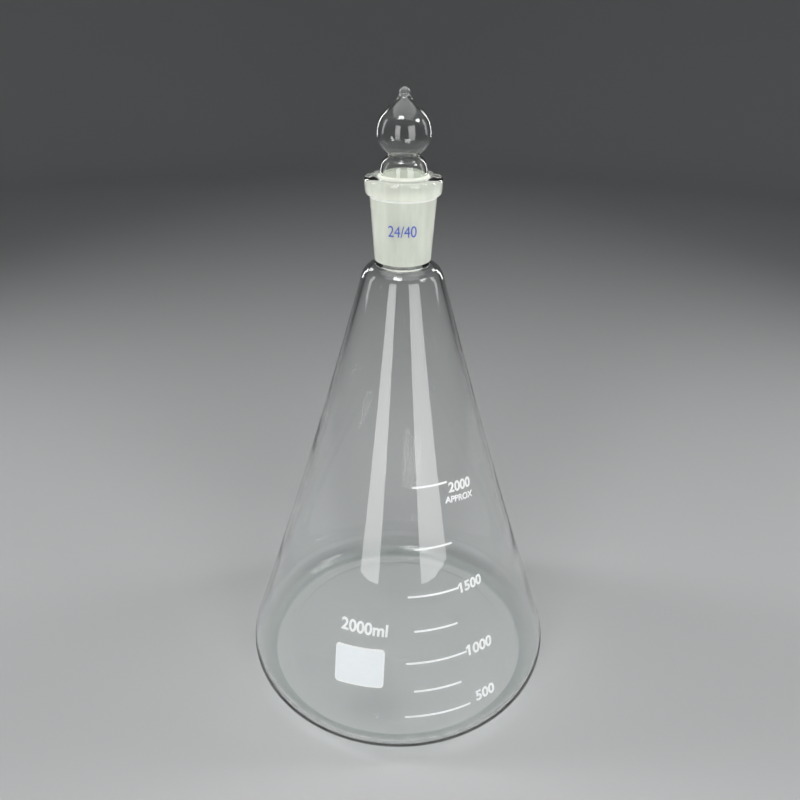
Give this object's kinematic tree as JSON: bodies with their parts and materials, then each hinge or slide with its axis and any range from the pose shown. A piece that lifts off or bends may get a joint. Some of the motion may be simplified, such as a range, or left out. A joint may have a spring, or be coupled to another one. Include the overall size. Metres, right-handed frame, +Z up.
{
  "type": "erlenmeyer flask",
  "caption": "Conical glass laboratory flask with a ground glass socket, a hollow lift-out ground stopper, printed graduation lines and a marking patch.",
  "frame": {"origin": "centre of the foot ring, on the surface that the flask stands on", "axes": "+Z up along the flask's axis, -Y towards the printed face, +X to the right of it"},
  "size_m": [0.1754, 0.1754, 0.3201],
  "materials": {
    "clear_glass": "clear, fire polished",
    "ground_glass": "ground, matt white",
    "white_enamel": "fired print, satin"
  },
  "bodies": {
    "flask": {"flask_body": "clear_glass", "ground_socket": "ground_glass", "marking_patch": "white_enamel", "graduation_500": "white_enamel", "graduation_750": "white_enamel", "graduation_1000": "white_enamel", "graduation_1250": "white_enamel", "graduation_1500": "white_enamel", "graduation_1750": "white_enamel", "graduation_2000": "white_enamel"},
    "stopper": {"stopper_plug": "ground_glass", "stopper_head": "clear_glass"}
  },
  "joints": [
    {"name": "stopper_lift", "type": "slide", "parent": "flask", "child": "stopper", "axis": [0, 0, 1], "range_m": [0, 0.1]}
  ]
}
